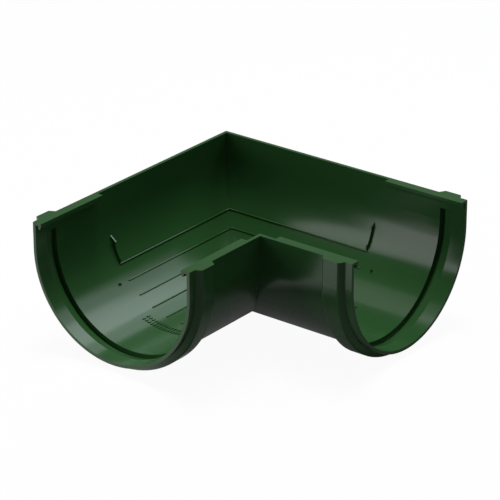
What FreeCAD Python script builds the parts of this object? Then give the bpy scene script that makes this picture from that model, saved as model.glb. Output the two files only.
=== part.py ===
"""Outside gutter corner: two half-round channel arms that meet at a 90 degree mitre.

One moulding in PVC. Each arm ends in a socket for a half-round gutter: a seal housing that
stands out around the mouth, a hooked lip over each rim and a stop deep inside the arm.
Millimetres, +Z up. One arm runs along +X and the other along -Y. The origin is the centre of
the box around the part, at its bottom.
"""
import FreeCAD, Part
import math
import os

from FreeCAD import Vector

# Channel
body_width = 125.0            # outside width of an arm
body_depth = 80.3             # rim down to the outside of the round bottom
wall = 2.4
arm_length = 194.5            # outer corner to the mouth, along the outer wall

# Seal housing around each mouth
mouth_band = 5.4              # plain band between the mouth and the housing
housing_length = 16.1         # foot of the corner side flank to foot of the mouth side flank
housing_height = 4.0          # how far the housing stands out of the channel
corner_flank = 2.3            # length of the flank on the corner side
mouth_flank = 2.0             # length of the flank on the mouth side
corner_edge_radius = 0.8
mouth_edge_radius = 1.6

# Seal groove inside the housing: a narrow slot, then a slope that rises to the mouth
groove_back_wall = 2.6        # foot of the corner side flank to the slot's back wall
groove_width = 3.0
groove_depth = 4.0
slope_length = 6.0            # front edge of the slot to the end of the slope
slope_depth = 1.7             # how deep the slope starts, at the slot
groove_top_gap = 9.6          # slot and slope stop this far under the rim
mouth_lead = 0.3              # how far the inside widens from the slope's end to the mouth

# Lips over the rims
lip_length = 59.1
lip_width = 6.6               # from the outside of the wall to the lip's inner edge
lip_thickness = 1.6
hook_width = 2.2
hook_face = 2.1               # plumb part of the hook's inner face, below the top of the rim
hook_tip_width = 1.3
hook_tip_radius = 0.6
hook_drop = 4.0               # top of the rim to the tip of the hook

# Stop for the gutter's end, high on the outer wall
stop_depth = 68.3             # mouth to the face that the gutter meets
stop_thickness = 1.15
stop_web_height = 2.2
stop_height = 3.4             # at the tip of the upper tooth
stop_low_angle = 146.9
stop_high_angle = 166.2
stop_slope_angle = 4.3        # arc that the upper tooth's sloping top takes up
stop_tooth_angle = 4.3        # arc that the lower tooth takes up
stop_drop = 4.4               # plumb edge of the lower tooth

# Ribs along the inside of each arm
rib_pitch_angle = 11.5
ribs_each_side = 5
rib_height = 0.7
rib_width = 1.0
rib_radius = 0.45

# Marks for the gutter's end, raised from the inside
mark_depth = 59.1             # mouth to the face of each small wedge
mark_length = 1.0
mark_width = 2.3
mark_height = 2.0
mark_angle = 46.4             # either side of the bottom
tick_first_depth = 53.6       # mouth to the first row of ticks
tick_row_pitch = 4.2
tick_rows = 2
tick_length = 2.6
tick_width = 1.0
tick_height = 0.6
tick_pitch_angle = 2.1
ticks_each_side = 9

# How far a raised detail is rooted in the wall behind it
root_depth = 0.8

# How far the cutting block of the mitre reaches past the part
mitre_margin = 10.0

# Derived places, in the frame of an arm: X from the outer corner, Y and Z from the rim
outer_radius = body_width / 2
inner_radius = outer_radius - wall
straight_wall = body_depth - outer_radius
housing_mouth_foot = arm_length - mouth_band
housing_corner_foot = housing_mouth_foot - housing_length
groove_back = housing_corner_foot + groove_back_wall
groove_front = groove_back + groove_width
slope_end = groove_front + slope_length
stop_front = arm_length - stop_depth

ALONG = Vector(1, 0, 0)
UP = Vector(0, 0, 1)
AXIS_POINT = Vector(0, -outer_radius, -straight_wall)


def closed_outline(corners):
    """A closed wire through (Vector, radius) corners, each rounded where its radius isn't 0."""
    joins = []
    for i, (corner, radius) in enumerate(corners):
        if radius == 0:
            joins.append((corner, None, corner))
            continue
        back = (corners[i - 1][0] - corner).normalize()
        ahead = (corners[(i + 1) % len(corners)][0] - corner).normalize()
        half_turn = back.getAngle(ahead) / 2
        reach = radius / math.tan(half_turn)
        to_centre = (back + ahead).normalize()
        middle = corner + to_centre * (radius / math.sin(half_turn) - radius)
        joins.append((corner + back * reach, middle, corner + ahead * reach))
    edges = []
    for i, (start, middle, end) in enumerate(joins):
        if middle is not None:
            edges.append(Part.Arc(start, middle, end).toShape())
        edges.append(Part.LineSegment(end, joins[(i + 1) % len(joins)][0]).toShape())
    return Part.Wire(edges)


def wall_section(with_groove, side):
    """Lengthwise section of the wall, in the level plane through the channel's axis.

    side is 1 for the outer wall and -1 for the inner wall.
    """
    housing_radius = outer_radius + housing_height
    outside = [
        (0, outer_radius, 0),
        (housing_corner_foot, outer_radius, 0),
        (housing_corner_foot + corner_flank, housing_radius, corner_edge_radius),
        (housing_mouth_foot - mouth_flank, housing_radius, mouth_edge_radius),
        (housing_mouth_foot, outer_radius, 0),
        (arm_length, outer_radius, 0),
    ]
    inside = [(arm_length, inner_radius + mouth_lead, 0)]
    inside.append((slope_end, inner_radius, 0))
    if with_groove:
        inside += [
            (groove_front, inner_radius + slope_depth, 0),
            (groove_front, inner_radius + groove_depth, 0),
            (groove_back, inner_radius + groove_depth, 0),
            (groove_back, inner_radius, 0),
        ]
    inside.append((0, inner_radius, 0))
    corners = [(AXIS_POINT + Vector(station, side * radius, 0), rounding)
               for station, radius, rounding in outside + inside]
    return Part.Face(closed_outline(corners))


def channel():
    """The U of one arm, from the outer corner to the mouth, before the mitre is cut."""
    grooved_height = straight_wall - groove_top_gap
    pieces = [wall_section(True, 1).revolve(AXIS_POINT, -ALONG, 180)]
    for side in (1, -1):
        pieces.append(wall_section(True, side).extrude(UP * grooved_height))
        top = wall_section(False, side)
        top.translate(UP * grooved_height)
        pieces.append(top.extrude(UP * groove_top_gap))
    return pieces


def lip(side):
    """A lip over the rim, with the hook that holds the gutter's edge down."""
    hook_outer = lip_width - hook_width
    section = [
        (wall - root_depth, 0, 0),
        (lip_width, 0, 0),
        (lip_width, -hook_face, 0),
        (hook_outer + hook_tip_width, -hook_drop, hook_tip_radius),
        (hook_outer, -hook_drop, hook_tip_radius),
        (hook_outer, -lip_thickness, 0),
        (wall - root_depth, -lip_thickness, 0),
    ]
    middle = -outer_radius
    corners = [(Vector(arm_length - lip_length, middle + side * (outer_radius - inward), height), rounding)
               for inward, height, rounding in section]
    return Part.Face(closed_outline(corners)).extrude(ALONG * lip_length)


def around(shape, angle):
    """Turn a shape about the channel's axis: 0 is the inner wall, 90 the bottom, 180 the outer wall."""
    turned = shape.copy()
    turned.rotate(AXIS_POINT, ALONG, angle)
    return turned


def raised_bar(start, length, width, height, rounding):
    """A bar that stands on the inner wall's inside, at the level of the channel's axis."""
    root = -inner_radius - root_depth
    crest = -inner_radius + height
    corners = [
        (AXIS_POINT + Vector(start, root, -width / 2), 0),
        (AXIS_POINT + Vector(start, crest, -width / 2), rounding),
        (AXIS_POINT + Vector(start, crest, width / 2), rounding),
        (AXIS_POINT + Vector(start, root, width / 2), 0),
    ]
    return Part.Face(closed_outline(corners)).extrude(ALONG * length)


def ribs():
    """Round-topped ribs that run from the mitre to the level of the stop's front face."""
    rib = raised_bar(wall, stop_front - wall, rib_width, rib_height, rib_radius)
    return [around(rib, 90 + k * rib_pitch_angle) for k in range(-ribs_each_side, ribs_each_side + 1)]


def on_wall(station, height, angle):
    """A point at a height over the inside of the wall, at an angle around the channel."""
    radius = inner_radius - height
    turn = math.radians(angle)
    return AXIS_POINT + Vector(station, -radius * math.cos(turn), -radius * math.sin(turn))


def gutter_stop():
    """A thin web along the wall, with a sloping tooth at its upper end and a plumb one at its lower end."""
    base = stop_front - stop_thickness
    web_low_angle = stop_low_angle + stop_tooth_angle
    web_high_angle = stop_high_angle - stop_slope_angle
    middle_angle = (stop_low_angle + stop_high_angle) / 2
    low = on_wall(base, 0, stop_low_angle)
    low_root = on_wall(base, -root_depth, stop_low_angle)
    high_root = on_wall(base, -root_depth, stop_high_angle)
    web_low = on_wall(base, stop_web_height, web_low_angle)
    web_high = on_wall(base, stop_web_height, web_high_angle)
    upper_tooth = [
        high_root,
        on_wall(base, 0, stop_high_angle),
        on_wall(base, stop_height, web_high_angle),
        web_high,
    ]
    lower_tooth = [web_low, low + UP * stop_drop, low, low_root]
    edges = [Part.LineSegment(*ends).toShape() for ends in zip(upper_tooth, upper_tooth[1:])]
    edges.append(Part.Arc(web_high, on_wall(base, stop_web_height, middle_angle), web_low).toShape())
    edges += [Part.LineSegment(*ends).toShape() for ends in zip(lower_tooth, lower_tooth[1:])]
    edges.append(Part.Arc(low_root, on_wall(base, -root_depth, middle_angle), high_root).toShape())
    return Part.Face(Part.Wire(edges)).extrude(ALONG * stop_thickness)


def wedge_marks():
    """Two small wedges whose triangular faces look at the mouth, where the gutter's end belongs."""
    start = arm_length - mark_depth - mark_length
    root = -inner_radius - root_depth
    crest = -inner_radius + mark_height
    points = [AXIS_POINT + Vector(start, *p) for p in (
        (root, -mark_width / 2),
        (-inner_radius, -mark_width / 2),
        (crest, 0),
        (-inner_radius, mark_width / 2),
        (root, mark_width / 2),
    )]
    mark = Part.Face(Part.makePolygon(points + points[:1])).extrude(ALONG * mark_length)
    return [around(mark, 90 + turn) for turn in (-mark_angle, mark_angle)]


def tick_marks():
    """Plain ticks across the bottom, in rows beside the wedges."""
    ticks = []
    for row in range(tick_rows):
        start = arm_length - tick_first_depth - tick_length - row * tick_row_pitch
        tick = raised_bar(start, tick_length, tick_width, tick_height, 0)
        for k in range(-ticks_each_side, ticks_each_side + 1):
            ticks.append(around(tick, 90 + k * tick_pitch_angle))
    return ticks


def mitre_waste():
    """Everything beyond the mitre plane, which runs through both corners of the channel."""
    near = -mitre_margin - housing_height
    far = body_width + mitre_margin
    points = [Vector(near, -near, 0), Vector(far, -far, 0), Vector(near, -far, 0)]
    waste = Part.Face(Part.makePolygon(points + points[:1])).extrude(UP * (body_depth + 2 * mitre_margin))
    waste.translate(UP * (-body_depth - mitre_margin))
    return waste


def arm():
    pieces = channel()
    pieces += [lip(1), lip(-1), gutter_stop()]
    pieces += ribs()
    pieces += wedge_marks()
    pieces += tick_marks()
    whole = pieces[0].multiFuse(pieces[1:])
    return whole.cut(mitre_waste()).removeSplitter()


def gutter_corner():
    first = arm()
    second = first.mirror(Vector(0, 0, 0), Vector(1, 1, 0))
    corner = first.fuse(second).removeSplitter()
    half_plan = (arm_length - housing_height) / 2
    corner.translate(Vector(-half_plan, half_plan, body_depth + housing_height))
    return corner


os.makedirs("parts", exist_ok=True)
corner = gutter_corner()
print("solids", len(corner.Solids), "valid", corner.isValid(), "volume", round(corner.Volume))
box = corner.optimalBoundingBox(True, False)
print("box", [round(v, 3) for v in (box.XMin, box.XMax, box.YMin, box.YMax, box.ZMin, box.ZMax)])
corner.Solids[0].exportStep("parts/gutter_corner.step")
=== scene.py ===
"""Looks of the gutter corner: moulded green plastic on a white floor, in soft studio light."""

import math

import bpy
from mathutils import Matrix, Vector

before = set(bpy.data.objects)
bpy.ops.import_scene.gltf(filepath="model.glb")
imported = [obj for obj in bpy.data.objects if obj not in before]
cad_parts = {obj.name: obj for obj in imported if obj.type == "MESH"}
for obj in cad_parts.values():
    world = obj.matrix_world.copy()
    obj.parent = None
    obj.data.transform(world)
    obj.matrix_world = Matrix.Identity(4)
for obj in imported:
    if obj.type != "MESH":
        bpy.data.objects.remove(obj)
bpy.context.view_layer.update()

# Lengths in metres, in the frame of the model: +Z up, one arm along +X and one along -Y
CAMERA_PLACE = Vector((0.9644, -1.2493, 0.7621))
CAMERA_AIM = Vector((0.0378, -0.0505, 0.0843))
CAMERA_LENS = 196.7           # mm
CAMERA_SENSOR = 36.0          # mm

PLASTIC_GREEN = (0.0265, 0.0965, 0.0262, 1.0)
PLASTIC_GREEN_PALE = (0.0300, 0.1055, 0.0297, 1.0)
PLASTIC_IOR = 1.5
PLASTIC_ROUGHNESS = 0.18
ROUGHNESS_SPREAD = 0.02       # each way, where the clouds are palest and darkest
CLOUD_SCALE = 14.0            # clouds per metre, about 70 mm across
CLOUD_DETAIL = 3.0
PEEL_SCALE = 900.0            # orange peel about 1 mm across
PEEL_DETAIL = 2.0
PEEL_STRENGTH = 0.05
PEEL_DEPTH = 0.0002

FLOOR_SIZE = 6.0
FLOOR_GREY = (0.3, 0.3, 0.3, 1.0)         # the floor as it lights the object
FLOOR_DIM = (0.12, 0.12, 0.12, 1.0)       # its own shading in reflections
FLOOR_WHITE = (1.0, 1.0, 1.0, 1.0)        # its own shading as the camera sees it
SHADOW_SHARE = 0.05           # how much of its own shading shows, the rest is plain white
FAINT_SHARE = 0.03            # how bright most of the floor is in reflections

# Painted reflections: the floor glows, though no lamp is there, at the front left and a little under
# the inner corner, and only reflections show it
FRONT_GLOW_PLACE = (-0.90, -0.40, 0.0)
FRONT_GLOW_RADIUS = 0.975
FRONT_GLOW_FADE = 0.05
FRONT_GLOW_SHARE = 1.0
UNDER_GLOW_PLACE = (0.030, -0.025, 0.0)
UNDER_GLOW_RADIUS = 0.070
UNDER_GLOW_FADE = 0.050
UNDER_GLOW_SHARE = 0.15

LAMP_TARGET = Vector((0.0, 0.0, 0.05))
LAMP_DISTANCE = 1.5
NEAR_DISTANCE = 0.7
WORLD_WHITE = (1.0, 1.0, 1.0, 1.0)
WORLD_STRENGTH = 0.03
WHITE = (1.0, 1.0, 1.0)
COOL = (0.88, 0.97, 1.0)


def shader_tree(name):
    """A new material with an empty node tree, and that tree."""
    material = bpy.data.materials.new(name)
    material.use_nodes = True
    tree = material.node_tree
    tree.nodes.clear()
    return material, tree


def moulded_plastic():
    """Satin green PVC with a faint orange peel and slow changes in tone and gloss."""
    material, tree = shader_tree("moulded_green_plastic")
    nodes = tree.nodes
    link = tree.links.new

    place = nodes.new("ShaderNodeTexCoord")
    shader = nodes.new("ShaderNodeBsdfPrincipled")
    output = nodes.new("ShaderNodeOutputMaterial")
    link(shader.outputs["BSDF"], output.inputs["Surface"])
    shader.inputs["IOR"].default_value = PLASTIC_IOR

    clouds = nodes.new("ShaderNodeTexNoise")
    clouds.inputs["Scale"].default_value = CLOUD_SCALE
    clouds.inputs["Detail"].default_value = CLOUD_DETAIL
    link(place.outputs["Object"], clouds.inputs["Vector"])

    tone = nodes.new("ShaderNodeMix")
    tone.data_type = "RGBA"
    tone.inputs["A"].default_value = PLASTIC_GREEN
    tone.inputs["B"].default_value = PLASTIC_GREEN_PALE
    link(clouds.outputs["Fac"], tone.inputs["Factor"])
    link(tone.outputs["Result"], shader.inputs["Base Color"])

    gloss = nodes.new("ShaderNodeMapRange")
    gloss.inputs["To Min"].default_value = PLASTIC_ROUGHNESS - ROUGHNESS_SPREAD
    gloss.inputs["To Max"].default_value = PLASTIC_ROUGHNESS + ROUGHNESS_SPREAD
    link(clouds.outputs["Fac"], gloss.inputs["Value"])
    link(gloss.outputs["Result"], shader.inputs["Roughness"])

    peel = nodes.new("ShaderNodeTexNoise")
    peel.inputs["Scale"].default_value = PEEL_SCALE
    peel.inputs["Detail"].default_value = PEEL_DETAIL
    link(place.outputs["Object"], peel.inputs["Vector"])
    bump = nodes.new("ShaderNodeBump")
    bump.inputs["Strength"].default_value = PEEL_STRENGTH
    bump.inputs["Distance"].default_value = PEEL_DEPTH
    link(peel.outputs["Fac"], bump.inputs["Height"])
    link(bump.outputs["Normal"], shader.inputs["Normal"])
    return material


def floor_white():
    """Plain pale floor that shows as white, with a little of its own shading kept for the shadow, and
    with painted glowing patches that only reflections show.
    """
    material, tree = shader_tree("floor_white")
    nodes = tree.nodes
    link = tree.links.new
    ray = nodes.new("ShaderNodeLightPath")
    place = nodes.new("ShaderNodeNewGeometry")

    def maths(operation, first, second):
        """The result of a sum on an output and another output or a number."""
        node = nodes.new("ShaderNodeMath")
        node.operation = operation
        link(first, node.inputs[0])
        if isinstance(second, float):
            node.inputs[1].default_value = second
        else:
            link(second, node.inputs[1])
        return node.outputs["Value"]

    def painted_glow_pool(middle, reach, fade, least, most):
        """A round patch of painted glow on the floor, seen only in reflections, that rises from least
        at its edge to most inside.
        """
        away = nodes.new("ShaderNodeVectorMath")
        away.operation = "DISTANCE"
        link(place.outputs["Position"], away.inputs[0])
        away.inputs[1].default_value = middle
        level = nodes.new("ShaderNodeMapRange")
        level.interpolation_type = "SMOOTHSTEP"
        level.inputs["From Min"].default_value = reach
        level.inputs["From Max"].default_value = reach - fade
        level.inputs["To Min"].default_value = least
        level.inputs["To Max"].default_value = most
        link(away.outputs["Value"], level.inputs["Value"])
        return level.outputs["Result"]

    # Painted glow on the floor for reflections: a large patch at the front left and a faint one under
    # the inner corner
    front = painted_glow_pool(FRONT_GLOW_PLACE, FRONT_GLOW_RADIUS, FRONT_GLOW_FADE, FAINT_SHARE, FRONT_GLOW_SHARE)
    under = painted_glow_pool(UNDER_GLOW_PLACE, UNDER_GLOW_RADIUS, UNDER_GLOW_FADE, FAINT_SHARE, UNDER_GLOW_SHARE)
    # Glossy rays see the painted glow patches; camera and transmission rays see plain white
    reflected = maths("MULTIPLY", ray.outputs["Is Glossy Ray"], maths("MAXIMUM", front, under))
    direct = maths("MAXIMUM", ray.outputs["Is Camera Ray"], ray.outputs["Is Transmission Ray"])
    share = maths("MULTIPLY", maths("MAXIMUM", direct, reflected), 1.0 - SHADOW_SHARE)

    grey = nodes.new("ShaderNodeMix")
    grey.data_type = "RGBA"
    grey.inputs["A"].default_value = FLOOR_GREY
    grey.inputs["B"].default_value = FLOOR_DIM
    link(ray.outputs["Is Glossy Ray"], grey.inputs["Factor"])
    colour = nodes.new("ShaderNodeMix")
    colour.data_type = "RGBA"
    colour.inputs["B"].default_value = FLOOR_WHITE
    link(grey.outputs["Result"], colour.inputs["A"])
    link(direct, colour.inputs["Factor"])

    matt = nodes.new("ShaderNodeBsdfDiffuse")
    link(colour.outputs["Result"], matt.inputs["Color"])
    white = nodes.new("ShaderNodeEmission")
    white.inputs["Strength"].default_value = 1.0
    mix = nodes.new("ShaderNodeMixShader")
    link(share, mix.inputs["Fac"])
    link(matt.outputs["BSDF"], mix.inputs[1])
    link(white.outputs["Emission"], mix.inputs[2])
    output = nodes.new("ShaderNodeOutputMaterial")
    link(mix.outputs["Shader"], output.inputs["Surface"])
    return material


def make_floor():
    """The floor under the object, at the height of its lowest points."""
    bpy.ops.mesh.primitive_plane_add(size=FLOOR_SIZE, location=(0, 0, 0))
    floor = bpy.context.object
    floor.name = "floor"
    floor.data.materials.append(floor_white())


def make_camera():
    """The camera that the photograph's rims, mouths and mitre ask for."""
    data = bpy.data.cameras.new("camera")
    data.sensor_width = CAMERA_SENSOR
    data.lens = CAMERA_LENS
    camera = bpy.data.objects.new("camera", data)
    camera.location = CAMERA_PLACE
    camera.rotation_euler = (CAMERA_AIM - CAMERA_PLACE).to_track_quat("-Z", "Y").to_euler()
    bpy.context.scene.collection.objects.link(camera)
    bpy.context.scene.camera = camera


def softbox(name, azimuth, elevation, width, height, radiance, tint=WHITE, distance=LAMP_DISTANCE):
    """A rectangular lamp that looks at the object. Azimuth is measured from +X towards +Y."""
    turn = math.radians(azimuth)
    rise = math.radians(elevation)
    outward = Vector((math.cos(rise) * math.cos(turn), math.cos(rise) * math.sin(turn), math.sin(rise)))
    data = bpy.data.lights.new(name, "AREA")
    data.shape = "RECTANGLE"
    data.size = width
    data.size_y = height
    data.energy = math.pi * width * height * radiance
    data.color = tint
    light = bpy.data.objects.new(name, data)
    light.location = LAMP_TARGET + outward * distance
    light.rotation_euler = (-outward).to_track_quat("-Z", "Y").to_euler()
    bpy.context.scene.collection.objects.link(light)


def light_scene():
    """Seven softboxes, and a faint world to fill in."""
    softbox("front_left", -124, 12, 0.43, 0.47, 2.1, distance=NEAR_DISTANCE)
    softbox("back", 84, 48, 1.55, 0.70, 1.45, COOL)
    softbox("back_high", 84, 52, 0.70, 0.45, 1.9, COOL)
    softbox("back_left", 128, 22, 0.60, 0.45, 0.15)
    softbox("top", 0, 86, 0.65, 0.65, 2.8)
    softbox("top_left", 140, 80, 0.50, 0.50, 14.5)
    softbox("left", 178, 54, 0.75, 0.65, 0.65)
    world = bpy.data.worlds.new("world")
    world.use_nodes = True
    background = world.node_tree.nodes["Background"]
    background.inputs["Color"].default_value = WORLD_WHITE
    background.inputs["Strength"].default_value = WORLD_STRENGTH
    bpy.context.scene.world = world


plastic = moulded_plastic()
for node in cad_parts.values():
    for slot in node.material_slots:
        slot.material = plastic

make_floor()
make_camera()
light_scene()
bpy.context.scene.view_settings.view_transform = "Standard"
